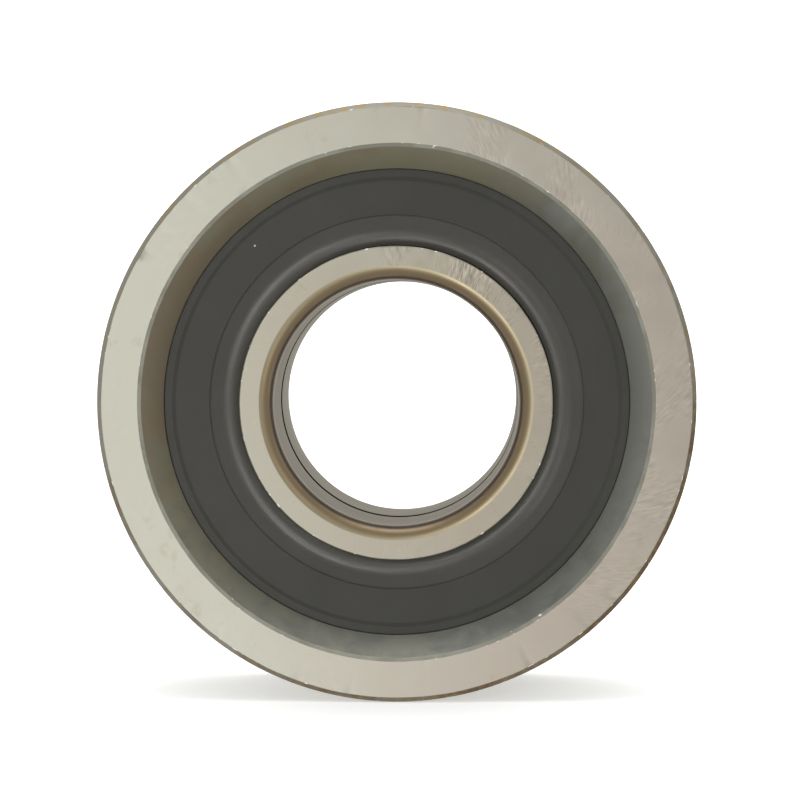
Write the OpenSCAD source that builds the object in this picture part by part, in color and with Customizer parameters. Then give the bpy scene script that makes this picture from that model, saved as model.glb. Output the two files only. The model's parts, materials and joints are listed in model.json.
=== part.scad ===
// Sealed double-row track roller.
// A thick outer ring rolls on two rows of tapered rollers round a split inner ring that clamps on a fixed axle.
// Millimetres. The axle runs along Y, the front is at -Y and the origin is the centre of the bore.

/* [Sizes that set the part] */
// Diameter of the tread
tread_d = 220; // [216:1:232]
// Diameter of the bore
bore_d = 90; // [84:1:92]
// Width over the two inner rings
inner_w = 100; // [99:0.5:102]
// Width of the outer ring
outer_w = 98; // [97.5:0.5:98.5]

/* [Outer ring] */
// Chamfer at each edge of the tread
tread_chamfer = 1.7; // [0.5:0.1:3]
// Diameter of the mouth in each side face
mouth_d = 190; // [186:1:194]
// Radial width of the small break round the mouth
mouth_break = 1.3; // [0.4:0.1:2]
// Diameter of the seal seat
seat_d = 172; // [170:0.5:174]
// Depth of the groove that holds the seal's bead
bead_depth = 0.6; // [0.3:0.1:1]

/* [Inner rings] */
// Corner radius between side face and bore
corner_r = 5.2; // [2:0.2:6]
// Diameter of the land that the seal lip rides on
land_d = 115; // [113:0.5:117]
// Diameter of the rib that guides the large ends of the rollers
rib_d = 134; // [131:0.5:135]
// Chamfer where the two inner rings meet in the bore
split_chamfer = 3.5; // [0.5:0.25:4]

/* [Rollers] */
// Rollers in each row
roller_count = 20; // [14:1:20]
// Mean diameter of a roller
roller_d = 19; // [18:0.25:19]
// Length of a roller
roller_len = 24; // [22:0.5:24]
// Diameter of the circle through the middles of the rollers
pitch_d = 141; // [140.5:0.25:141.5]
// Angle between a roller's axis and the axle
axis_angle = 13; // [12.5:0.25:13]
// Distance from the middle plane to the middle of a roller
row_z = 17.4; // [17.2:0.1:17.6]

/* [Cage] */
// Thickness of the cage
cage_t = 2.2; // [1.6:0.1:2.6]

/* [Seals] */
// Radial gap between the seal lip and its land
lip_gap = 0.1; // [0.05:0.05:0.3]
// Height of the rounded lip over the flat of the seal
lip_rise = 1.8; // [1.2:0.1:2.2]
// Thickness of the steel insert
insert_t = 1.2; // [0.8:0.1:1.4]
// Diameter of the wire ring that presses the lip down
garter_d = 1.8; // [1.4:0.1:2]

/* [Hidden] */
$fn = 96;

NUMBERS = [for (i = [1 : roller_count]) str(i < 10 ? "0" : "", i)];

// Running gap between a roller and each raceway, and between its ends and the ribs.
race_gap = 0.08;
end_gap = 0.2;
// Play of a roller in its cage pocket, across and along.
pocket_gap = 0.35;
pitch_r = pitch_d / 2;
// Raceways and rollers are cones with one shared apex on the axle.
apex_z = row_z - pitch_r / tan(axis_angle);
half_taper = atan(roller_d / 2 * sin(axis_angle) / pitch_r);
cone_angle = axis_angle - half_taper;
cup_angle = axis_angle + half_taper;

// Heights over the middle plane.
face_z = outer_w / 2;
inner_face_z = inner_w / 2;
// Upper side of the rib, which faces the seal.
rib_z = 34.2;
// Floor of the seal seat, and the bead groove above it.
seat_z = 32;
bead_z = [33.9, 36.8];
// Outer flat of the seal.
seal_z = 40.1;
// Half height of the cylinder between the two cup raceways.
cup_middle_z = 2.5;

bore_r = bore_d / 2;
land_r = land_d / 2;
rib_r = rib_d / 2;
seat_r = seat_d / 2;
// Outside of the small rib at the inner end of each inner ring.
small_rib_r = 60.2;
// Groove for the coupling ring, and the ring itself.
clip_groove_z = [2.4, 3.6];
clip_groove_depth = 1.1;
clip_t = 0.9;
clip_play = 0.05;

// Seal: outer rim, hinge groove in the flat, and the rounded lip.
rim_drop = 0.4;
rim_w = 3.6;
hinge_r = 68.8;
hinge_w = 0.6;
hinge_depth = 0.25;
// Roundings of the lip: over its crest, and at its shoulder next to the land.
lip_arc_r = 9.5;
shoulder_r = 0.5;
// Middle of the crest outward of the land, and the angles at which its rounding starts and ends.
crest_out = 4.2;
crest_start = 69;
crest_end = 112;
garter_r = 60.4;
garter_z = 36.5;
// Steel insert: radial web and outer leg.
insert_in_r = 63.5;
insert_out_r = 83.2;
insert_z = 38.2;

steel_ground = [0.74, 0.73, 0.68];
steel_turned = [0.62, 0.56, 0.44];
steel_roller = [0.80, 0.80, 0.80];
steel_pressed = [0.60, 0.60, 0.60];
rubber_black = [0.20, 0.20, 0.19];

// A point [r, z] at t along a roller's axis from its middle and e outward from that axis.
function by_roller(t, e) = [
    pitch_r + t * sin(axis_angle) + e * cos(axis_angle),
    row_z + t * cos(axis_angle) - e * sin(axis_angle)
];
// The roller's radius at t along its axis.
function roller_r(t) = roller_d / 2 + t * tan(half_taper);
// Raceway radii at height z.
function cone_r(z) = (z - apex_z) * tan(cone_angle) - race_gap;
function cup_r(z) = (z - apex_z) * tan(cup_angle) + race_gap;
// The height at which the plane across a roller's axis at t has radius r.
function end_plane_z(t, r) = by_roller(t, (r - by_roller(t, 0)[0]) / cos(axis_angle))[1];
function arc(c, r, a0, a1, n) = [for (i = [0 : n]) c + r * [cos(a0 + (a1 - a0) * i / n), sin(a0 + (a1 - a0) * i / n)]];
function mirrored(points) = [for (i = [len(points) - 1 : -1 : 0]) [points[i][0], -points[i][1]]];

// Each side is drawn with its outward direction along +Z, then turned to its place on the axle.
module on_side(side) {
    rotate([side == "front" ? 90 : -90, 0, 0]) children();
}

module at_roller(i) {
    rotate([0, 0, (i - 1) * 360 / roller_count])
        translate([pitch_r, 0, row_z])
            rotate([0, axis_angle, 0]) children();
}

// Thick ring with the tread outside and both cup raceways inside.
module outer_ring() {
    mouth_r = mouth_d / 2;
    tread_r = tread_d / 2;
    break_depth = mouth_break / 2;
    slope_r = mouth_r - mouth_break;
    slope_z = face_z - break_depth;
    race_end_z = seat_z - 1.2;
    inside = [
        [mouth_r, face_z],
        [slope_r, slope_z],
        [seat_r, slope_z - (slope_r - seat_r)],
        [seat_r, bead_z[1]],
        [seat_r + bead_depth, bead_z[1] - bead_depth / 2],
        [seat_r + bead_depth, bead_z[0] + bead_depth / 2],
        [seat_r, bead_z[0]],
        [seat_r, seat_z],
        [cup_r(race_end_z) + 0.6, seat_z],
        [cup_r(race_end_z), race_end_z],
        [cup_r(cup_middle_z), cup_middle_z]
    ];
    outside = [
        [tread_r, -face_z + tread_chamfer],
        [tread_r, face_z - tread_chamfer],
        [tread_r - tread_chamfer, face_z]
    ];
    color(steel_ground)
        rotate([90, 0, 0])
            rotate_extrude()
                polygon(concat(
                    [[tread_r - tread_chamfer, -face_z]],
                    outside,
                    inside,
                    mirrored(inside)
                ));
}

// One of the two inner rings, with its raceway, guide rib and rounded bore corner.
module inner_ring() {
    relief = 0.7;
    edge = 0.6;
    rib_t = roller_len / 2 + end_gap;
    small_t = -roller_len / 2 - end_gap;
    rib_foot = by_roller(rib_t, -roller_r(rib_t));
    small_foot = by_roller(small_t, -roller_r(small_t));
    small_rib_z = end_plane_z(small_t, small_rib_r);
    profile = [
        [bore_r, split_chamfer],
        [bore_r, inner_face_z],
        [land_r - edge, inner_face_z],
        [land_r, inner_face_z - edge],
        [land_r, rib_z],
        [rib_r - edge, rib_z],
        [rib_r, rib_z - edge],
        [rib_r, end_plane_z(rib_t, rib_r)],
        [rib_foot[0] - relief, rib_foot[1] + relief / 4],
        [cone_r(rib_foot[1] - 2 * relief), rib_foot[1] - 2 * relief],
        [cone_r(small_foot[1] + 2 * relief), small_foot[1] + 2 * relief],
        [small_foot[0] - relief, small_foot[1]],
        [small_rib_r, small_rib_z],
        [small_rib_r, clip_groove_z[1]],
        [small_rib_r - clip_groove_depth, clip_groove_z[1]],
        [small_rib_r - clip_groove_depth, clip_groove_z[0]],
        [small_rib_r, clip_groove_z[0]],
        [small_rib_r, edge],
        [small_rib_r - edge, 0],
        [bore_r + split_chamfer, 0]
    ];
    color(steel_ground)
        rotate_extrude()
            difference() {
                polygon(profile);
                translate([bore_r, inner_face_z])
                    difference() {
                        square(2 * corner_r, center = true);
                        translate([corner_r, -corner_r]) circle(corner_r);
                        translate([corner_r, -2 * corner_r]) square([corner_r, 4 * corner_r]);
                        translate([0, -3 * corner_r]) square([3 * corner_r, 2 * corner_r]);
                    }
            }
}

// Thin spring ring that clips the two inner rings together.
module coupling_ring() {
    inside_r = small_rib_r + clip_play;
    outside_r = inside_r + clip_t;
    hook_r = small_rib_r - clip_groove_depth + 2 * clip_play;
    hook_z = [clip_groove_z[0] + clip_play, clip_groove_z[1] - clip_play];
    half = [
        [outside_r, hook_z[1]],
        [hook_r, hook_z[1]],
        [hook_r, hook_z[0]],
        [inside_r, hook_z[0]]
    ];
    color(steel_pressed)
        rotate([90, 0, 0])
            rotate_extrude()
                polygon(concat(half, mirrored(half)));
}

// Tapered roller with chamfered ends and a shallow turned recess in the large one.
module roller() {
    half = roller_len / 2;
    chamfer = 0.8;
    recess_r = 4.5;
    recess_depth = 0.5;
    color(steel_roller)
        rotate_extrude()
            polygon([
                [0, -half],
                [roller_r(-half) - chamfer, -half],
                [roller_r(chamfer - half), chamfer - half],
                [roller_r(half - chamfer), half - chamfer],
                [roller_r(half) - chamfer, half],
                [recess_r, half],
                [recess_r, half - recess_depth],
                [0, half - recess_depth]
            ]);
}

// Pressed window cage, its wall just outside the rollers' axes.
module cage() {
    wall_in = 1.6;
    wall_out = wall_in + cage_t;
    end_t = roller_len / 2 + 3;
    flange_t = end_t - cage_t + 0.4;
    half = roller_len / 2 + pocket_gap;
    wall = [
        by_roller(-end_t, wall_out),
        by_roller(end_t, wall_out),
        by_roller(end_t, 0.2),
        by_roller(flange_t, 0.2),
        by_roller(flange_t, wall_in),
        by_roller(-flange_t, wall_in),
        by_roller(-flange_t, -5),
        by_roller(-end_t, -5)
    ];
    color(steel_pressed)
        difference() {
            rotate_extrude() polygon(wall);
            for (i = [1 : roller_count])
                at_roller(i)
                    translate([0, 0, -half])
                        cylinder(
                            h = 2 * half,
                            r1 = roller_r(-half) + pocket_gap,
                            r2 = roller_r(half) + pocket_gap
                        );
        }
}

// Moulded rubber seal: beaded rim, flat, hinge groove and a rounded lip.
module seal() {
    rim_z = seal_z - rim_drop;
    bead_r = seat_r + bead_depth - 0.05;
    rim_r = seat_r - rim_w;
    lip_r = land_r + lip_gap;
    hinge_out = hinge_r + hinge_w / 2;
    hinge_in = hinge_r - hinge_w / 2;
    // The lip slopes up from the hinge, rounds over its crest and turns down at a shoulder next to the land.
    crest_c = [land_r + crest_out, seal_z + lip_rise - lip_arc_r];
    shoulder_c = crest_c + (lip_arc_r - shoulder_r) * [cos(crest_end), sin(crest_end)];
    garter = [garter_r, garter_z];
    color(rubber_black)
        rotate_extrude()
            polygon(concat(
                [
                    [seat_r, seat_z],
                    [seat_r, bead_z[0]],
                    [bead_r, bead_z[0] + bead_depth / 2],
                    [bead_r, bead_z[1] - bead_depth / 2],
                    [seat_r, bead_z[1]],
                    [seat_r, rim_z - 0.3],
                    [seat_r - 0.3, rim_z],
                    [rim_r, rim_z]
                ],
                arc([rim_r - rim_drop, rim_z], rim_drop, 0, 90, 6),
                [
                    [hinge_out, seal_z],
                    [hinge_out - hinge_w / 4, seal_z - hinge_depth],
                    [hinge_in + hinge_w / 4, seal_z - hinge_depth],
                    [hinge_in, seal_z - 0.15]
                ],
                arc(crest_c, lip_arc_r, crest_start, crest_end, 16),
                arc(shoulder_c, shoulder_r, crest_end + 12, 180, 6),
                [
                    [lip_r, garter_z + 0.9],
                    [lip_r, garter_z + 0.5],
                    [garter_r - 1.6, garter_z - 1.3]
                ],
                arc(garter, garter_d / 2 + 0.05, 255, 30, 14),
                [
                    [insert_in_r - 0.8, insert_z - insert_t],
                    [insert_in_r, insert_z - insert_t],
                    [insert_in_r, insert_z],
                    [insert_out_r, insert_z],
                    [insert_out_r, seat_z]
                ]
            ));
}

// Angled steel ring bonded to the back of the rubber.
module seal_insert() {
    color(steel_pressed)
        rotate_extrude()
            polygon([
                [insert_in_r, insert_z - insert_t],
                [insert_out_r - insert_t, insert_z - insert_t],
                [insert_out_r - insert_t, seat_z + 0.3],
                [insert_out_r, seat_z + 0.3],
                [insert_out_r, insert_z],
                [insert_in_r, insert_z]
            ]);
}

// Closed ring of coiled wire, drawn at its outer size.
module garter_spring() {
    color(steel_pressed)
        rotate_extrude()
            translate([garter_r, garter_z]) circle(garter_d / 2);
}

outer_ring();
coupling_ring();

for (side = ["front", "rear"]) {
    on_side(side) inner_ring();
    on_side(side) cage();
    on_side(side) seal();
    on_side(side) seal_insert();
    on_side(side) garter_spring();
    for (i = [1 : roller_count])
        on_side(side) at_roller(i) roller();
}
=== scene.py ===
"""Looks of the sealed track roller: its visible pieces are turned again in fine detail round the CAD frame.

Sizes are in millimetres, as in the CAD model. The axle runs along Y and the front is at -Y.
A profile is a list of corners (r, h): r is the distance from the axle and h the height over the middle plane.
"""
import json
import math
import random

import bmesh
import bpy
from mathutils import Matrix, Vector


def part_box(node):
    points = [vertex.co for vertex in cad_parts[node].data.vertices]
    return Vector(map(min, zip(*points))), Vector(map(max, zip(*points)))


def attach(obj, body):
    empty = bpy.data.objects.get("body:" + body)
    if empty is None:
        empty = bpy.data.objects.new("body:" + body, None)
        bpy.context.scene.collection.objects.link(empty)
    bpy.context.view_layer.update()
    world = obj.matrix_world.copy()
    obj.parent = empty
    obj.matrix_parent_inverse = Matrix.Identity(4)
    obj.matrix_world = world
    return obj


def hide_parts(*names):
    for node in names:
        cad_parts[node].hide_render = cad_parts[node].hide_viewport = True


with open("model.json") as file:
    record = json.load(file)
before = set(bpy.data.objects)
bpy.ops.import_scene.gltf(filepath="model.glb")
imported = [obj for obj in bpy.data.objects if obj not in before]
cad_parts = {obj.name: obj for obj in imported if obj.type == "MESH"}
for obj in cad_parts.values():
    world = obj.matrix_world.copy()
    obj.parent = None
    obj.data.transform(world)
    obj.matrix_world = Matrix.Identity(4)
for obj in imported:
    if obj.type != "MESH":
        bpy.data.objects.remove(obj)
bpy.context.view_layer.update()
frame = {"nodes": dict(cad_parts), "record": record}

MM = 0.001
SIDES = {"front": -1, "rear": 1}
SEGMENTS = 912
SEAL_SEGMENTS = 720

# ---------------------------------------------------------------- sizes

outer_low, outer_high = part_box("outer_ring")
inner_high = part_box("inner_ring_rear")[1]
TREAD_R = min(outer_high[0], outer_high[2], -outer_low[0], -outer_low[2]) / MM
OUTER_FACE = outer_high[1] / MM
INNER_FACE = inner_high[1] / MM
BORE_R = frame["record"]["mounts"][0]["dims"]["r_mm"]

# Outer ring: tread, mouth of the recess, seal seat with its bead groove, ends of the raceways.
TREAD_CHAMFER = 1.7
MOUTH_R = 95.0
MOUTH_BREAK = (1.3, 0.65)
SEAT_R = 86.0
SEAT_FLOOR = 32.0
BEAD = (33.9, 36.8)
BEAD_DEPTH = 0.6
CUP_MIDDLE = 2.5
CUP_LEAD_IN = (0.6, 1.2)

# Inner ring: corner at the bore, land under the lip, ribs, undercuts, coupling ring's groove, split.
CORNER_R = 5.2
LAND_R = 57.5
RIB_R = 67.0
RIB_TOP = 34.2
SMALL_RIB_R = 60.2
UNDERCUT = (0.7, 1.4)
CLIP_GROOVE = (2.4, 3.6)
CLIP_GROOVE_DEPTH = 1.1
SPLIT_CHAMFER = 3.5

# Seal, outside: bead, rim, flat, hinge groove, lip and its shoulder. Turns are in degrees.
BEAD_PLAY = 0.05
SEAL_FLAT = 40.1
RIM_DROP = 0.4
RIM_W = 3.6
RIM_SLOPE = (0.7, 0.8)
RIM_ROUND = 1.6
HINGE_R = 68.8
HINGE_W = 0.6
HINGE_DEPTH = 0.25
LIP_FOOT = 0.15
LIP_GAP = 0.1
LIP_RISE = 1.8
LIP_ARC = 9.5
LIP_TURN = (69, 112)
LIP_STEPS = 24
CREST_R = LAND_R + 4.2
SHOULDER_ARC = 0.5
SHOULDER_TURN = (LIP_TURN[1] + 9, 180)
SHOULDER_STEPS = 8

# Seal, hidden: garter spring, then the strip on the land and the lip's foot from the spring's middle, insert.
GARTER_R = 60.4
GARTER_H = 36.5
COIL_R = 0.9
COIL_PLAY = 0.05
COIL_TURN = (255, 30)
COIL_STEPS = 14
STRIP = (0.9, 0.5)
FOOT = (-1.6, -1.3)
INSERT_R = (63.5, 83.2)
INSERT_H = 38.2
INSERT_T = 1.2
INSERT_COVER = 0.8

# Raceways and rollers: cones that share one apex on the axle.
AXIS_ANGLE = math.radians(13)
PITCH_R = 70.5
ROW_H = 17.4
ROLLER_R = 9.5
ROLLER_L = 24.0
RACE_GAP = 0.08
END_GAP = 0.2
APEX_H = ROW_H - PITCH_R / math.tan(AXIS_ANGLE)
HALF_TAPER = math.atan(ROLLER_R * math.sin(AXIS_ANGLE) / PITCH_R)


def cone_r(h):
    """Radius of the inner raceway at height h."""
    return (h - APEX_H) * math.tan(AXIS_ANGLE - HALF_TAPER) - RACE_GAP


def cup_r(h):
    """Radius of the outer raceway at height h."""
    return (h - APEX_H) * math.tan(AXIS_ANGLE + HALF_TAPER) + RACE_GAP


def by_roller(t, e):
    """The point t along a roller's axis from its middle and e outward from that axis."""
    return (PITCH_R + t * math.sin(AXIS_ANGLE) + e * math.cos(AXIS_ANGLE),
            ROW_H + t * math.cos(AXIS_ANGLE) - e * math.sin(AXIS_ANGLE))


# ---------------------------------------------------------------- material nodes

AROUND_R = 100.0


class Tree:
    """A material's nodes, with short calls for the few kinds used here."""

    def __init__(self, name, metallic, **fixed):
        self.material = bpy.data.materials.new(name)
        self.material.use_nodes = True
        self.tree = self.material.node_tree
        self.tree.nodes.clear()
        output = self.tree.nodes.new("ShaderNodeOutputMaterial")
        self.shader = self.tree.nodes.new("ShaderNodeBsdfPrincipled")
        self.tree.links.new(self.shader.outputs[0], output.inputs[0])
        self.shader.inputs["Metallic"].default_value = metallic
        for socket, value in fixed.items():
            self.shader.inputs[socket.replace("_", " ")].default_value = value
        place = self.add("ShaderNodeTexCoord").outputs["Object"]
        self.place = self.vector("SCALE", place, scale=1 / MM)
        parts = self.add("ShaderNodeSeparateXYZ", Vector=self.place)
        self.x, self.y, self.z = parts.outputs
        flat = self.join(self.x, 0.0, self.z)
        self.r = self.vector("LENGTH", flat)
        # The same point moved out or in to one circle round the axle, so that marks meet without a seam.
        self.around = self.vector("SCALE", self.vector("NORMALIZE", flat), scale=AROUND_R)
        self.height = self.math("ABSOLUTE", self.y)

    def add(self, kind, props=None, **inputs):
        node = self.tree.nodes.new(kind)
        for key, value in (props or {}).items():
            setattr(node, key, value)
        for key, value in inputs.items():
            self.plug(node.inputs[key.replace("_", " ")], value)
        return node

    def plug(self, socket, value):
        if isinstance(value, bpy.types.NodeSocket):
            self.tree.links.new(value, socket)
        elif value is not None:
            socket.default_value = value

    def math(self, operation, a, b=None):
        node = self.add("ShaderNodeMath", {"operation": operation})
        self.plug(node.inputs[0], a)
        self.plug(node.inputs[1], b)
        return node.outputs[0]

    def plus(self, a, b):
        return self.math("ADD", a, b)

    def minus(self, a, b):
        return self.math("SUBTRACT", a, b)

    def times(self, a, b):
        return self.math("MULTIPLY", a, b)

    def vector(self, operation, a, b=None, scale=None):
        node = self.add("ShaderNodeVectorMath", {"operation": operation})
        self.plug(node.inputs[0], a)
        self.plug(node.inputs[1], b)
        if scale is not None:
            self.plug(node.inputs["Scale"], scale)
        return node.outputs["Value" if operation == "LENGTH" else "Vector"]

    def join(self, x, y, z):
        return self.add("ShaderNodeCombineXYZ", X=x, Y=y, Z=z).outputs[0]

    def noise(self, place, scale=1.0, detail=2.0, rough=0.5, warp=0.0):
        node = self.add("ShaderNodeTexNoise", Vector=place, Scale=scale, Detail=detail, Roughness=rough,
                        Distortion=warp)
        return node.outputs["Fac"]

    def cloud(self, shift, scale, detail=2.0, rough=0.5, warp=0.0):
        """Noise fixed to the piece, moved by shift so that no two layers are alike."""
        return self.noise(self.vector("ADD", self.place, shift), scale, detail, rough, warp)

    def streaks(self, width, length, across, seed=0.0, swirl=0.0):
        """Noise drawn out into marks. across "turn" runs them round the axle, "radial" runs them outward."""
        round_scale, radial_scale = (1 / length, 1 / width) if across == "turn" else (1 / width, 1 / length)
        around = self.around
        if swirl:
            around = self.add("ShaderNodeVectorRotate", {"rotation_type": "Y_AXIS"}, Vector=around,
                              Angle=self.times(self.r, swirl)).outputs[0]
        spread = self.vector("SCALE", around, scale=round_scale)
        depth = self.times(self.plus(self.r, self.height), radial_scale)
        place = self.vector("ADD", spread, self.join(seed, depth, seed))
        return self.noise(place, detail=3.0)

    def ramp(self, value, *stops):
        node = self.add("ShaderNodeValToRGB", Fac=value)
        ramp = node.color_ramp
        while len(ramp.elements) < len(stops):
            ramp.elements.new(1.0)
        for element, (at, colour) in zip(ramp.elements, stops):
            element.position = at
            element.color = (*colour, 1.0)
        return node.outputs["Color"]

    def step(self, value, low, high, out_low=0.0, out_high=1.0):
        """value taken from low..high to out_low..out_high, smoothly, and held past both ends."""
        node = self.add("ShaderNodeMapRange", {"interpolation_type": "SMOOTHSTEP"}, Value=value)
        for key, number in zip(("From Min", "From Max", "To Min", "To Max"), (low, high, out_low, out_high)):
            node.inputs[key].default_value = number
        return node.outputs["Result"]

    def mix(self, factor, a, b, blend="MIX"):
        node = self.add("ShaderNodeMix", {"data_type": "RGBA", "blend_type": blend})
        self.plug(node.inputs["Factor"], factor)
        for key, value in (("A", a), ("B", b)):
            socket = [s for s in node.inputs if s.name == key and s.type == "RGBA"][0]
            self.plug(socket, (*value, 1.0) if isinstance(value, tuple) else value)
        return [s for s in node.outputs if s.type == "RGBA"][0]

    def shaded(self, colour, shade):
        return self.mix(1.0, colour, self.join(shade, shade, shade), "MULTIPLY")

    def finish(self, colour, roughness, height, depth):
        """Wires the surface. depth is the bump's full height in millimetres."""
        self.plug(self.shader.inputs["Base Color"], colour)
        self.plug(self.shader.inputs["Roughness"], roughness)
        bump = self.add("ShaderNodeBump", Height=height, Distance=depth * MM, Strength=1.0)
        self.plug(self.shader.inputs["Normal"], bump.outputs[0])
        return self.material


def ground_face(name, cool, warm, seed, contrast, stroked, swirl):
    """Surface-ground steel: a cool to warm tint, partly random and partly a painted reflection that turns
    warmer towards +x; pits and stains.

    stroked is the direction (x, z) of the side where short grinding strokes show, and swirl is their slant in
    radians per millimetre.
    """
    m = Tree(name, 1.0)
    # Painted reflection: the tint turns warmer towards +x (and a little towards -z), cooler towards -x.
    lean = m.minus(m.times(m.x, 0.0046), m.times(m.z, 0.0008))
    cloud = m.cloud((seed, 0, 0), 0.018, 3.0, 0.5, 0.6)
    colour = m.mix(m.step(m.plus(lean, cloud), 0.2, 0.85), cool, warm)
    facing = m.plus(m.times(m.x, stroked[0]), m.times(m.z, stroked[1]))
    facing = m.math("DIVIDE", facing, m.r)
    patch = m.step(m.cloud((seed + 9, 4, 0), 0.05, 2.0), 0.40, 0.62)
    patch = m.times(patch, m.step(facing, 0.1, 0.75, 0.12, 1.0))
    stroke = m.streaks(0.8, 3.5, "radial", seed, swirl=swirl)
    fine = m.streaks(0.3, 6.0, "turn", seed + 3.0)
    marks = m.times(m.minus(stroke, 0.5), patch)
    shade = m.plus(m.times(marks, contrast), 1.0)
    shade = m.plus(shade, m.times(m.minus(fine, 0.5), 0.05))
    mottle = m.cloud((seed + 70, 3, 0), 0.07, 3.0, 0.55)
    shade = m.plus(shade, m.times(m.minus(mottle, 0.5), 0.22))
    colour = m.shaded(colour, shade)
    stain = m.step(m.cloud((seed + 30, 8, 3), 0.11, 4.0, 0.6), 0.60, 0.72)
    colour = m.mix(m.times(stain, 0.3), colour, (0.20, 0.185, 0.13))
    pit = m.step(m.cloud((seed + 50, 1, 7), 0.85, 1.0), 0.80, 0.84)
    colour = m.mix(m.times(pit, 0.6), colour, (0.12, 0.11, 0.09))
    rough = m.plus(m.times(mottle, 0.08), m.times(stroke, 0.06))
    height = m.plus(marks, m.times(fine, 0.3))
    height = m.minus(height, m.times(pit, 1.5))
    return m.finish(colour, m.plus(rough, 0.34), height, 0.006)


def recess_steel(name):
    """Turned and hardened steel in brown, olive and grey-green: partly random tone, partly a painted
    reflection that runs from brown at -x to grey at +x; greyer and darker towards the bottom, with more dark
    spots there.
    """
    m = Tree(name, 1.0)
    turned = m.streaks(0.22, 40.0, "turn", 2.0)
    cloud = m.noise(m.place, 0.03, 3.0, 0.55, 0.8)
    blot = m.cloud((40, 0, 11), 0.1, 3.0, 0.5, 0.5)
    # Painted reflection: the tint runs from brown towards grey along +x, and a little along -z.
    side = m.plus(m.times(m.x, 0.0062), m.times(m.z, -0.0028))
    tone = m.plus(m.plus(side, cloud), m.times(blot, 0.22))
    colour = m.ramp(tone, (0.05, (0.257, 0.214, 0.15)), (0.25, (0.267, 0.252, 0.178)),
                    (0.5, (0.272, 0.256, 0.186)), (0.72, (0.27, 0.255, 0.205)),
                    (0.86, (0.25, 0.252, 0.212)), (1.0, (0.30, 0.30, 0.275)))
    colour = m.mix(m.step(m.z, -90.0, -20.0, 0.6, 0.0), colour, (0.20, 0.205, 0.178))
    spot = m.times(m.step(blot, 0.36, 0.68), m.step(m.z, -80.0, 10.0, 0.55, 0.10))
    colour = m.mix(spot, colour, (0.15, 0.155, 0.145))
    shade = m.plus(m.times(turned, 0.16), 0.92)
    colour = m.shaded(colour, shade)
    rough = m.plus(m.times(blot, 0.18), 0.34)
    return m.finish(colour, rough, turned, 0.012)


def chamfer_steel(name):
    """Edge chamfer: grey with random brown patches, gold flecks and rubbed spots; the darker brown low down
    and towards +x is painted shade, and the gold flecks, stronger towards the top, are a painted highlight.
    """
    m = Tree(name, 1.0)
    cloud = m.noise(m.place, 0.035, 3.0, 0.6, 1.0)
    # Painted shade: the brown deepens towards -z and towards +x.
    lean = m.minus(m.times(m.x, 0.0011), m.times(m.z, 0.0020))
    colour = m.ramp(m.plus(cloud, lean), (0.45, (0.27, 0.262, 0.222)), (0.62, (0.20, 0.172, 0.13)),
                    (0.78, (0.14, 0.095, 0.058)))
    gold = m.step(m.cloud((61, 5, 2), 0.3, 3.0, 0.7), 0.49, 0.58)
    # Painted highlight: the gold flecks grow stronger towards the top (+z).
    gold = m.times(gold, m.step(m.z, 50.0, 105.0, 0.4, 1.0))
    colour = m.mix(m.times(gold, 0.8), colour, (0.34, 0.24, 0.085))
    worn = m.step(m.cloud((5, 60, 9), 0.35, 2.0), 0.70, 0.76)
    colour = m.mix(worn, colour, (0.50, 0.50, 0.45))
    rough = m.plus(m.times(cloud, 0.2), 0.36)
    return m.finish(colour, rough, m.streaks(0.2, 20.0, "turn", 4.0), 0.01)


def worn_edge(name, dull, bright, flecks):
    """Rounded arris, rubbed by handling. flecks is how much of it is scraped to clean metal."""
    m = Tree(name, 1.0)
    rub = m.step(m.noise(m.place, 0.08, 3.0, 0.6), 0.40, 0.64)
    fleck = m.step(m.cloud((7, 70, 1), 0.4, 1.0), 0.78 - flecks, 0.84 - flecks)
    colour = m.mix(rub, dull, bright)
    colour = m.mix(fleck, colour, (0.74, 0.75, 0.68))
    rough = m.minus(0.42, m.times(rub, 0.12))
    return m.finish(colour, rough, fleck, 0.006)


def ground_round(name, colour, seed, gloss=0.26, depth=0.006, **fixed):
    """Cylindrically ground steel: fine marks round the axle, light scuffs and a faint film."""
    m = Tree(name, 1.0, **fixed)
    spread = m.vector("SCALE", m.around, scale=0.03)
    along = m.times(m.y, 2.6)
    lines = m.noise(m.vector("ADD", spread, m.join(seed, along, 0.0)), 1.0, 5.0, 0.65)
    film = m.cloud((seed, 20, 0), 0.03, 3.0, 0.5, 0.5)
    scuff = m.step(m.cloud((seed, 90, 9), 0.3, 4.0, 0.7, 1.5), 0.64, 0.70)
    tone = m.plus(m.times(lines, 0.22), m.times(film, 0.3))
    tone = m.plus(tone, 0.74)
    shade = m.mix(1.0, colour, m.join(tone, tone, m.times(tone, 0.97)), "MULTIPLY")
    shade = m.mix(m.times(scuff, 0.35), shade, (0.80, 0.79, 0.75))
    rough = m.plus(m.times(lines, 0.14), gloss)
    rough = m.plus(rough, m.times(scuff, 0.15))
    return m.finish(shade, rough, m.minus(lines, m.times(scuff, 0.4)), depth)


def golden_brown_corner(name):
    """Golden on the rounded corner, turning to dark brown towards the bore."""
    m = Tree(name, 1.0)
    turned = m.streaks(0.2, 50.0, "turn", 6.0)
    cloud = m.noise(m.place, 0.07, 3.0, 0.55, 0.6)
    inward = m.plus(m.step(m.r, BORE_R, BORE_R + CORNER_R),
                    m.times(m.minus(cloud, 0.5), 0.35))
    colour = m.ramp(inward, (0.0, (0.26, 0.225, 0.18)), (0.2, (0.235, 0.185, 0.13)),
                    (0.4, (0.19, 0.14, 0.085)), (0.7, (0.195, 0.15, 0.088)), (1.0, (0.21, 0.18, 0.12)))
    spot = m.step(m.cloud((3, 33, 5), 0.6, 2.0), 0.66, 0.74)
    colour = m.mix(m.times(spot, 0.5), colour, (0.20, 0.15, 0.10))
    rough = m.plus(m.times(cloud, 0.12), m.times(turned, 0.08))
    return m.finish(colour, m.plus(rough, 0.22), turned, 0.01)


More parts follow.
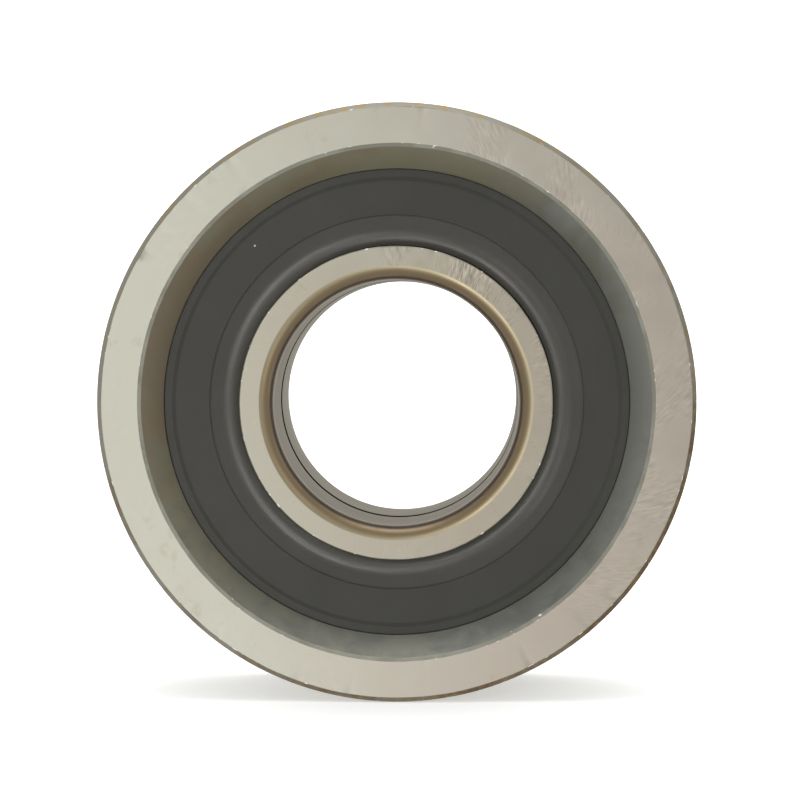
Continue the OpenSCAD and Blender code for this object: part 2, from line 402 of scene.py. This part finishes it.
def moulded_rubber(name, deep, bloomed, gloss, sheen, line_width, depth):
    """Dark moulded rubber: fine grain, concentric mould lines, faint bloom, and a few specks of dust."""
    m = Tree(name, 0.0, Specular_IOR_Level=sheen)
    grain = m.noise(m.place, 3.2, 2.0, 0.6)
    bloom = m.noise(m.place, 0.045, 3.0, 0.5, 0.6)
    lines = m.streaks(line_width, 60.0, "turn", 8.0)
    colour = m.mix(bloom, deep, bloomed)
    cells = m.add("ShaderNodeTexVoronoi", {"feature": "F1"}, Vector=m.place, Scale=0.115)
    chosen = m.step(m.add("ShaderNodeSeparateColor", Color=cells.outputs["Color"]).outputs[0], 0.90, 0.91)
    speck = m.times(m.step(cells.outputs["Distance"], 0.035, 0.05, 1.0, 0.0), chosen)
    colour = m.mix(m.times(speck, 0.8), colour, (0.50, 0.50, 0.46))
    rough = m.plus(m.times(grain, 0.04), gloss)
    height = m.plus(m.times(grain, 0.05), lines)
    return m.finish(colour, rough, m.plus(height, speck), depth)


def pressed_steel(name, base, film, seed):
    """Pressed or drawn steel inside the roller: dull, oily and a little blotched; made near-black, it also
    paints the shade in the inner rings' split groove.
    """
    m = Tree(name, 1.0)
    blot = m.cloud((seed, 0, seed), 0.09, 4.0, 0.6, 0.7)
    drawn = m.streaks(0.3, 12.0, "radial", seed)
    colour = m.mix(m.step(blot, 0.35, 0.7), base, film)
    rough = m.plus(m.times(blot, 0.2), m.times(drawn, 0.1))
    return m.finish(colour, m.plus(rough, 0.28), drawn, 0.01)


MATERIALS = {
    "face": ground_face("outer_face_ground", (0.285, 0.28, 0.24), (0.275, 0.247, 0.21), 0.0, 0.8,
                        (0.94, 0.34), 0.008),
    "inner_face": ground_face("inner_face_ground", (0.25, 0.237, 0.196), (0.24, 0.215, 0.175), 120.0, 2.2,
                              (0.45, 0.89), 0.004),
    "recess": recess_steel("recess_tempered"),
    "chamfer": chamfer_steel("chamfer_brown"),
    "edge": worn_edge("edge_worn", (0.19, 0.18, 0.14), (0.30, 0.30, 0.26), 0.12),
    "break": worn_edge("mouth_break", (0.23, 0.225, 0.185), (0.30, 0.293, 0.245), 0.03),
    "tread": ground_round("tread_ground", (0.56, 0.55, 0.51), 10.0),
    "race": ground_round("race_ground", (0.55, 0.54, 0.50), 25.0, 0.2, 0.003),
    "bore": ground_round("bore_ground", (0.50, 0.475, 0.43), 40.0, 0.42, Specular_Tint=(0.46, 0.44, 0.40, 1)),
    # Painted shade: the split groove's chamfers get a near-black colour for the shade between the two inner
    # rings.
    "split": pressed_steel("split_dark", (0.035, 0.03, 0.026), (0.02, 0.018, 0.016), 90.0),
    "corner": golden_brown_corner("corner_golden"),
    "rubber": moulded_rubber("seal_rubber", (0.031, 0.0305, 0.0265), (0.042, 0.0412, 0.036), 0.34, 0.12,
                             0.9, 0.006),
    "lip": moulded_rubber("seal_lip_rubber", (0.029, 0.026, 0.021), (0.040, 0.0365, 0.030), 0.24, 0.46,
                          0.15, 0.035),
    "roller": ground_round("roller_ground", (0.70, 0.70, 0.69), 60.0, 0.14, 0.002),
    "cage": pressed_steel("cage_pressed", (0.33, 0.32, 0.30), (0.24, 0.22, 0.19), 5.0),
    "insert": pressed_steel("insert_pressed", (0.36, 0.36, 0.36), (0.27, 0.27, 0.26), 35.0),
    "spring": pressed_steel("spring_drawn", (0.50, 0.50, 0.48), (0.40, 0.38, 0.34), 65.0),
}


# ---------------------------------------------------------------- lathe work

ARC_STEPS = 5
SUPPORTS = (0.25, 2.5)
SUPPORT_ROOM = 3
# A dent's reach across the profile and round the axle, in its widths, and how much faster it dies off across.
DENT_ACROSS = 2
DENT_ROUND = 3
DENT_FALL = 1.5


def corner(r, h, fillet, band, arc=None):
    """A corner of a profile. band dresses the stretch that follows it and arc the rounding itself."""
    return {"at": Vector((r, h)), "fillet": fillet, "band": band, "arc": arc or band}


def mirrored(half, closing):
    """The corners of one half, then the same ones below the middle plane, back to the start."""
    other = []
    for k in range(len(half) - 1, -1, -1):
        c = half[k]
        band = half[k - 1]["band"] if k else closing
        other.append(corner(c["at"].x, -c["at"].y, c["fillet"], band, c["arc"]))
    return half + other


def arc_corners(centre, radius, start, end, steps, band):
    """Corners along an arc, from one angle to another in degrees."""
    angles = [math.radians(start + (end - start) * i / steps) for i in range(steps + 1)]
    return [corner(centre[0] + radius * math.cos(a), centre[1] + radius * math.sin(a), 0, band)
            for a in angles]


def rounded(corners):
    """The profile's points, each with the band of the stretch after it.

    Fillets become arcs, with support points beside them that keep the flats' shading flat.
    """
    points = []
    for k, c in enumerate(corners):
        here = c["at"]
        back = corners[k - 1]["at"] - here
        ahead = corners[(k + 1) % len(corners)]["at"] - here
        if not c["fillet"]:
            points.append((here, c["band"]))
            continue
        half = back.angle(ahead) / 2
        run = c["fillet"] / math.tan(half)
        u, v = back.normalized(), ahead.normalized()
        centre = here + (u + v).normalized() * c["fillet"] / math.sin(half)
        start, end = here + u * run, here + v * run
        spare_back, spare_ahead = back.length - run, ahead.length - run
        before = corners[k - 1]["band"]
        for gap in reversed(SUPPORTS):
            if spare_back > SUPPORT_ROOM * gap:
                points.append((start + u * gap, before))
        from_centre, to_centre = start - centre, end - centre
        turn = from_centre.angle_signed(to_centre)
        for i in range(ARC_STEPS + 1):
            a = -turn * i / ARC_STEPS
            swing = Vector((from_centre.x * math.cos(a) - from_centre.y * math.sin(a),
                            from_centre.x * math.sin(a) + from_centre.y * math.cos(a)))
            points.append((centre + swing, c["arc"] if i < ARC_STEPS else c["band"]))
        for gap in SUPPORTS:
            if spare_ahead > SUPPORT_ROOM * gap:
                points.append((end + v * gap, c["band"]))
    return points


def nicks(edge, count, depth, width, seed, arcs=((0, 360),)):
    """Small dents in an arris: for each, its angle, width and depth. edge is the sharp corner it sits on."""
    rng = random.Random(seed)
    found = []
    for _ in range(count):
        low, high = arcs[rng.randrange(len(arcs))]
        found.append({"edge": Vector(edge), "angle": math.radians(rng.uniform(low, high)),
                      "width": width * rng.uniform(0.5, 1.6), "depth": depth * rng.uniform(0.35, 1.0)})
    return found


def lathe(name, corners, side, body, dents=(), inward=None, segments=SEGMENTS):
    """Turns a profile round the axle into a piece that rides on body.

    side is -1 or 1: heights point to that side's end of the axle.
    The dents are pushed towards inward, a point inside the metal.
    """
    points = rounded(corners)
    bands = list(dict.fromkeys(band for _, band in points))
    rings = [[[at.x, at.y] for _ in range(segments)] for at, _ in points]
    step = 2 * math.pi / segments
    for dent in dents:
        push = (inward - dent["edge"]).normalized()
        for ring, (at, _) in zip(rings, points):
            gap = (at - dent["edge"]).length
            if gap > DENT_ACROSS * dent["width"]:
                continue
            reach = int(DENT_ROUND * dent["width"] / (at.x * step)) + 1
            middle = round(dent["angle"] / step)
            for s in range(middle - reach, middle + reach + 1):
                run = (s * step - dent["angle"]) * at.x / dent["width"]
                weight = math.exp(-run * run) * math.exp(-(gap / dent["width"]) ** 2 * DENT_FALL)
                place = ring[s % segments]
                place[0] += push.x * dent["depth"] * weight
                place[1] += push.y * dent["depth"] * weight
    vertices = [(r * math.cos(s * step) * MM, side * h * MM, r * math.sin(s * step) * MM)
                for ring in rings for s, (r, h) in enumerate(ring)]
    faces = []
    indices = []
    for k, (_, band) in enumerate(points):
        a, b = k * segments, (k + 1) % len(points) * segments
        for s in range(segments):
            n = (s + 1) % segments
            faces.append((a + s, a + n, b + n, b + s))
            indices.append(bands.index(band))
    mesh = bpy.data.meshes.new(name)
    mesh.from_pydata(vertices, [], faces)
    for band in bands:
        mesh.materials.append(MATERIALS[band])
    mesh.polygons.foreach_set("material_index", indices)
    mesh.polygons.foreach_set("use_smooth", [True] * len(faces))
    work = bmesh.new()
    work.from_mesh(mesh)
    bmesh.ops.recalc_face_normals(work, faces=work.faces)
    work.to_mesh(mesh)
    work.free()
    piece = bpy.data.objects.new(name, mesh)
    bpy.context.scene.collection.objects.link(piece)
    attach(piece, body)
    return piece


# ---------------------------------------------------------------- the pieces

def outer_ring():
    """Tread, two ground faces, two conical recesses with their seal seats, and the two raceways."""
    slope_top = (MOUTH_R - MOUTH_BREAK[0], OUTER_FACE - MOUTH_BREAK[1])
    slope_foot = (SEAT_R, slope_top[1] - (slope_top[0] - SEAT_R))
    race_end = SEAT_FLOOR - CUP_LEAD_IN[1]
    half = [
        corner(TREAD_R, OUTER_FACE - TREAD_CHAMFER, 0.5, "chamfer", "edge"),
        corner(TREAD_R - TREAD_CHAMFER, OUTER_FACE, 0.3, "face", "edge"),
        corner(MOUTH_R, OUTER_FACE, 0.2, "break", "edge"),
        corner(*slope_top, 0.3, "recess", "break"),
        corner(*slope_foot, 0.2, "recess"),
        corner(SEAT_R, BEAD[1], 0, "recess"),
        corner(SEAT_R + BEAD_DEPTH, BEAD[1] - BEAD_DEPTH / 2, 0, "recess"),
        corner(SEAT_R + BEAD_DEPTH, BEAD[0] + BEAD_DEPTH / 2, 0, "recess"),
        corner(SEAT_R, BEAD[0], 0, "recess"),
        corner(SEAT_R, SEAT_FLOOR, 0, "recess"),
        corner(cup_r(race_end) + CUP_LEAD_IN[0], SEAT_FLOOR, 0, "race"),
        corner(cup_r(race_end), race_end, 0, "race"),
        corner(cup_r(CUP_MIDDLE), CUP_MIDDLE, 0, "race"),
    ]
    dents = []
    for sign in SIDES.values():
        seed = 40 + sign
        arris = (TREAD_R - TREAD_CHAMFER, -sign * OUTER_FACE)
        low = (TREAD_R, -sign * (OUTER_FACE - TREAD_CHAMFER))
        mouth = (MOUTH_R, -sign * OUTER_FACE)
        dents += nicks(arris, 16, 0.16, 0.9, seed)
        dents += nicks(arris, 8, 0.28, 1.2, seed + 10, ((120, 165), (285, 330)))
        dents += nicks(low, 16, 0.2, 1.0, seed + 20)
        dents += nicks(mouth, 5, 0.12, 0.8, seed + 30, ((20, 70),))
        dents += nicks(mouth, 3, 0.08, 0.7, seed + 50)
    piece = lathe("outer_ring_body", mirrored(half, "tread"), -1, "outer_ring",
                  dents, inward=Vector((MOUTH_R + 4, 0)))
    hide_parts("outer_ring")


def inner_ring(side):
    """Bore, ground face, seal land, raceway with its two ribs, and half of the coupling ring's groove."""
    rib_t = ROLLER_L / 2 + END_GAP
    small_t = -rib_t
    taper = math.tan(HALF_TAPER)
    rib_foot = by_roller(rib_t, -(ROLLER_R + rib_t * taper))
    small_foot = by_roller(small_t, -(ROLLER_R + small_t * taper))
    deep, wide = UNDERCUT
    groove_r = SMALL_RIB_R - CLIP_GROOVE_DEPTH

    def end_plane(t, r):
        """Height at radius r of the plane square to the roller's axis at t."""
        return by_roller(t, (r - by_roller(t, 0)[0]) / math.cos(AXIS_ANGLE))[1]

    corners = [
        corner(BORE_R, SPLIT_CHAMFER, 0.2, "bore", "split"),
        corner(BORE_R, INNER_FACE, CORNER_R, "inner_face", "corner"),
        corner(LAND_R, INNER_FACE, 0.45, "race", "edge"),
        corner(LAND_R, RIB_TOP, 0.2, "race"),
        corner(RIB_R, RIB_TOP, 0.5, "race"),
        corner(RIB_R, end_plane(rib_t, RIB_R), 0.3, "race"),
        corner(rib_foot[0] - deep, rib_foot[1] + deep / 4, 0, "race"),
        corner(cone_r(rib_foot[1] - wide), rib_foot[1] - wide, 0, "race"),
        corner(cone_r(small_foot[1] + wide), small_foot[1] + wide, 0, "race"),
        corner(small_foot[0] - deep, small_foot[1], 0, "race"),
        corner(SMALL_RIB_R, end_plane(small_t, SMALL_RIB_R), 0.2, "race"),
        corner(SMALL_RIB_R, CLIP_GROOVE[1], 0, "race"),
        corner(groove_r, CLIP_GROOVE[1], 0, "race"),
        corner(groove_r, CLIP_GROOVE[0], 0, "race"),
        corner(SMALL_RIB_R, CLIP_GROOVE[0], 0, "race"),
        corner(SMALL_RIB_R, 0, 0.4, "race"),
        corner(BORE_R + SPLIT_CHAMFER, 0, 0.2, "split"),
    ]
    dents = nicks((LAND_R, INNER_FACE), 9, 0.12, 0.8, 70 + SIDES[side])
    piece = lathe(f"inner_ring_{side}_body", corners, SIDES[side], "inner_rings",
                  dents, inward=Vector((LAND_R - 5, INNER_FACE - 8)))
    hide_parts(f"inner_ring_{side}")


def seal(side):
    """Rubber moulding: beaded rim, flat, hinge groove, rounded lip, spring groove and the insert's pocket."""
    rim = SEAL_FLAT - RIM_DROP
    step_r = SEAT_R - RIM_W
    bead_r = SEAT_R + BEAD_DEPTH - BEAD_PLAY
    crest = (CREST_R, SEAL_FLAT + LIP_RISE - LIP_ARC)
    reach = LIP_ARC - SHOULDER_ARC
    turn = math.radians(LIP_TURN[1])
    shoulder = (crest[0] + reach * math.cos(turn), crest[1] + reach * math.sin(turn))
    corners = [
        corner(SEAT_R, SEAT_FLOOR, 0, "rubber"),
        corner(SEAT_R, BEAD[0], 0, "rubber"),
        corner(bead_r, BEAD[0] + BEAD_DEPTH / 2, 0, "rubber"),
        corner(bead_r, BEAD[1] - BEAD_DEPTH / 2, 0, "rubber"),
        corner(SEAT_R, BEAD[1], 0, "rubber"),
        corner(SEAT_R, rim, 0.3, "rubber"),
        corner(step_r + RIM_SLOPE[0], rim, RIM_ROUND, "rubber"),
        corner(step_r - RIM_SLOPE[1], SEAL_FLAT, RIM_ROUND, "rubber"),
        corner(HINGE_R + HINGE_W / 2, SEAL_FLAT, 0.2, "rubber"),
        corner(HINGE_R + HINGE_W / 4, SEAL_FLAT - HINGE_DEPTH, 0, "rubber"),
        corner(HINGE_R - HINGE_W / 4, SEAL_FLAT - HINGE_DEPTH, 0, "rubber"),
        corner(HINGE_R - HINGE_W / 2, SEAL_FLAT - LIP_FOOT, 0.2, "lip"),
    ]
    corners += arc_corners(crest, LIP_ARC, *LIP_TURN, LIP_STEPS, "lip")
    corners += arc_corners(shoulder, SHOULDER_ARC, *SHOULDER_TURN, SHOULDER_STEPS, "lip")
    corners += [
        corner(LAND_R + LIP_GAP, GARTER_H + STRIP[0], 0.1, "rubber"),
        corner(LAND_R + LIP_GAP, GARTER_H + STRIP[1], 0.1, "rubber"),
        corner(GARTER_R + FOOT[0], GARTER_H + FOOT[1], 0, "rubber"),
    ]
    corners += arc_corners((GARTER_R, GARTER_H), COIL_R + COIL_PLAY, *COIL_TURN, COIL_STEPS, "rubber")
    corners += [
        corner(INSERT_R[0] - INSERT_COVER, INSERT_H - INSERT_T, 0, "rubber"),
        corner(INSERT_R[0], INSERT_H - INSERT_T, 0, "rubber"),
        corner(INSERT_R[0], INSERT_H, 0, "rubber"),
        corner(INSERT_R[1], INSERT_H, 0, "rubber"),
        corner(INSERT_R[1], SEAT_FLOOR, 0, "rubber"),
    ]
    piece = lathe(f"seal_{side}_moulding", corners, SIDES[side], "outer_ring",
                  segments=SEAL_SEGMENTS)
    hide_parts(f"seal_{side}")


def dress_inside():
    """Materials for the CAD pieces that stay as they are."""
    for name, node in frame["nodes"].items():
        for key, prefix in (("roller", "roller"), ("cage", "cage"), ("insert", "seal_insert"),
                            ("spring", "garter"), ("spring", "coupling")):
            if name.startswith(prefix):
                node.data.materials.clear()
                node.data.materials.append(MATERIALS[key])


outer_ring()
for side in SIDES:
    inner_ring(side)
    seal(side)
dress_inside()


# ---------------------------------------------------------------- floor, light and camera

# In metres from here on: the sweep's half width, front, back, rounding and height.
SWEEP_HALF, SWEEP_FRONT, SWEEP_BACK, SWEEP_ROUND, SWEEP_TOP = 4.0, -3.5, 1.6, 1.2, 3.2
SWEEP_STEPS = 24
PAPER_WHITE = (0.93, 0.93, 0.93, 1)
PAPER_GLOW = 0.2

WORLD_LIGHT = 0.88
BOX_DISTANCE = 1.7
BOX_WHITE = (1.0, 0.99, 0.96)
WHITE = (1.0, 1.0, 1.0)
# The soft boxes by quarter and angle off the axle in degrees, side and radiance.
BOXES = (
    ("box_upper_left", 147, 15, 0.28, 11.8),
    ("box_lower_left", 236, 15, 0.28, 13.0),
    ("box_upper_right", 42, 26, 0.46, 1.2),
    ("box_lower_right", 330, 26, 0.46, 1.8),
)

FILM_WIDTH = 36.0
LENS = 139.2
CAMERA_DISTANCE = 1.130
CAMERA_SIDE, CAMERA_RISE = 0.030, 0.036
AIM_SIDE, AIM_RISE = 0.0015, 0.0011


def stage():
    """Pale floor under the tread that sweeps up into a backdrop."""
    floor_z = outer_low[2]
    bend = SWEEP_BACK - SWEEP_ROUND
    angles = [math.pi / 2 * i / SWEEP_STEPS for i in range(SWEEP_STEPS + 1)]
    outline = [(SWEEP_FRONT, floor_z)]
    outline += [(bend + SWEEP_ROUND * math.sin(a), floor_z + SWEEP_ROUND - SWEEP_ROUND * math.cos(a))
                for a in angles]
    outline.append((SWEEP_BACK, floor_z + SWEEP_TOP))
    mesh = bpy.data.meshes.new("studio_sweep")
    vertices = [(x, y, z) for y, z in outline for x in (-SWEEP_HALF, SWEEP_HALF)]
    faces = [(2 * i, 2 * i + 1, 2 * i + 3, 2 * i + 2) for i in range(len(outline) - 1)]
    mesh.from_pydata(vertices, [], faces)
    mesh.polygons.foreach_set("use_smooth", [True] * len(faces))
    paper = bpy.data.materials.new("studio_paper")
    paper.use_nodes = True
    shader = paper.node_tree.nodes["Principled BSDF"]
    shader.inputs["Base Color"].default_value = PAPER_WHITE
    shader.inputs["Roughness"].default_value = 0.9
    shader.inputs["Specular IOR Level"].default_value = 0.1
    shader.inputs["Emission Color"].default_value = (*WHITE, 1)
    shader.inputs["Emission Strength"].default_value = PAPER_GLOW
    mesh.materials.append(paper)
    sweep_object = bpy.data.objects.new("studio_sweep", mesh)
    bpy.context.scene.collection.objects.link(sweep_object)
    # The two lower boxes stand below the floor and shine through it.
    sweep_object.visible_shadow = False
    sweep_object.visible_glossy = False


def area_light(name, place, target, size, radiance, colour):
    """A soft box that shows the given radiance, whatever its size."""
    light = bpy.data.lights.new(name, "AREA")
    light.shape = "RECTANGLE"
    light.size, light.size_y = size
    light.energy = radiance * math.pi * size[0] * size[1]
    light.color = colour
    lamp = bpy.data.objects.new(name, light)
    lamp.location = place
    lamp.rotation_euler = (Vector(target) - Vector(place)).to_track_quat("-Z", "Y").to_euler()
    lamp.visible_camera = False
    bpy.context.scene.collection.objects.link(lamp)


def studio():
    """Even white surroundings, four soft boxes in front, a wide one overhead and one on the backdrop."""
    world = bpy.data.worlds.new("studio")
    bpy.context.scene.world = world
    world.use_nodes = True
    background = world.node_tree.nodes["Background"]
    background.inputs[0].default_value = (*WHITE, 1)
    background.inputs[1].default_value = WORLD_LIGHT
    # One soft box in each quarter round the view: the left ones are nearer to it, smaller and stronger.
    for name, quarter, off_axis, size, radiance in BOXES:
        a, tilt = math.radians(quarter), math.radians(off_axis)
        radial = BOX_DISTANCE * math.sin(tilt)
        place = (radial * math.cos(a), -BOX_DISTANCE * math.cos(tilt), radial * math.sin(a))
        area_light(name, place, (0, 0, 0), (size, size), radiance, BOX_WHITE)
    area_light("overhead", (0, -0.6, 2.5), (0, -0.3, 0), (2.0, 2.0), 1.3, WHITE)
    area_light("backdrop_wash", (0, 0.5, 2.4), (0, 1.6, 2.2), (3.0, 1.2), 5.0, WHITE)


def camera():
    """A long lens over a metre in front of the face, a little up and to the right of the axle."""
    data = bpy.data.cameras.new("camera")
    data.sensor_width = FILM_WIDTH
    data.lens = LENS
    data.clip_start = 0.01
    lens = bpy.data.objects.new("camera", data)
    face_y = -INNER_FACE * MM
    lens.location = (CAMERA_SIDE, face_y - CAMERA_DISTANCE, CAMERA_RISE)
    aim = Vector((AIM_SIDE, face_y, AIM_RISE))
    lens.rotation_euler = (aim - lens.location).to_track_quat("-Z", "Y").to_euler()
    bpy.context.scene.collection.objects.link(lens)
    bpy.context.scene.camera = lens


stage()
studio()
camera()
bpy.context.scene.view_settings.view_transform = "Standard"
